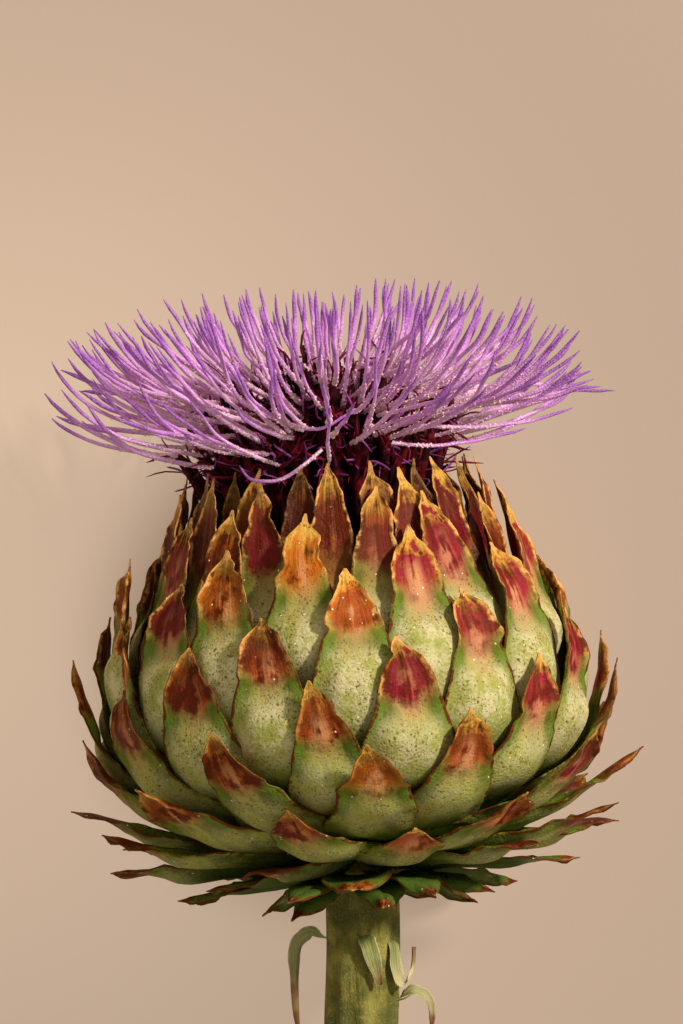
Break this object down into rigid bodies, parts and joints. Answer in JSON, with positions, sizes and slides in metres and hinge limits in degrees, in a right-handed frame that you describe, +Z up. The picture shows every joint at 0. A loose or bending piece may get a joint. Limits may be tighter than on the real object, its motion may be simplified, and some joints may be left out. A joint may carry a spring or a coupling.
{
  "type": "artichoke flower head",
  "caption": "Globe artichoke in flower, cut with a short stem and lying on its side, with overlapping spiral bracts and a violet tuft of florets.",
  "frame": {"origin": "middle of the footprint, on the surface the head lies on", "axes": "+Z up, +Y along the head's axis from the stem toward the flower, +X to the right of the visible face"},
  "size_m": [0.1108, 0.1796, 0.1036],
  "materials": {
    "bract": "matte",
    "dry_bract": "matte",
    "collar_bract": "matte",
    "floret": "matte",
    "stem": "matte",
    "leaflet": "matte"
  },
  "bodies": {
    "root": {"stem": "stem", "crown_bracts": "dry_bract", "collar_bracts": "collar_bract", "bract_01": "bract", "bract_02": "bract", "bract_03": "bract", "bract_04": "bract", "bract_05": "bract", "bract_06": "bract", "bract_07": "bract", "bract_08": "bract", "bract_09": "bract", "bract_10": "bract", "bract_11": "bract", "bract_12": "bract", "bract_13": "bract", "bract_14": "bract", "bract_15": "bract", "bract_16": "bract", "bract_17": "bract", "bract_18": "bract", "bract_19": "bract", "bract_20": "bract", "bract_21": "bract", "bract_22": "bract", "bract_23": "bract", "bract_24": "bract", "bract_25": "bract", "bract_26": "bract", "bract_27": "bract", "bract_28": "bract", "bract_29": "bract", "bract_30": "bract", "bract_31": "bract", "bract_32": "bract", "bract_33": "bract", "bract_34": "bract", "bract_35": "bract", "bract_36": "bract", "bract_37": "bract", "bract_38": "bract", "bract_39": "bract", "bract_40": "bract", "bract_41": "bract", "bract_42": "bract", "bract_43": "bract", "bract_44": "bract", "bract_45": "bract", "bract_46": "bract", "bract_47": "bract", "bract_48": "bract", "florets_centre": "floret", "florets_up": "floret", "florets_right": "floret", "florets_under": "floret", "florets_left": "floret", "leaflet_left": "leaflet", "leaflet_front": "leaflet", "leaflet_right": "leaflet", "leaflet_low": "leaflet"}
  },
  "joints": []
}
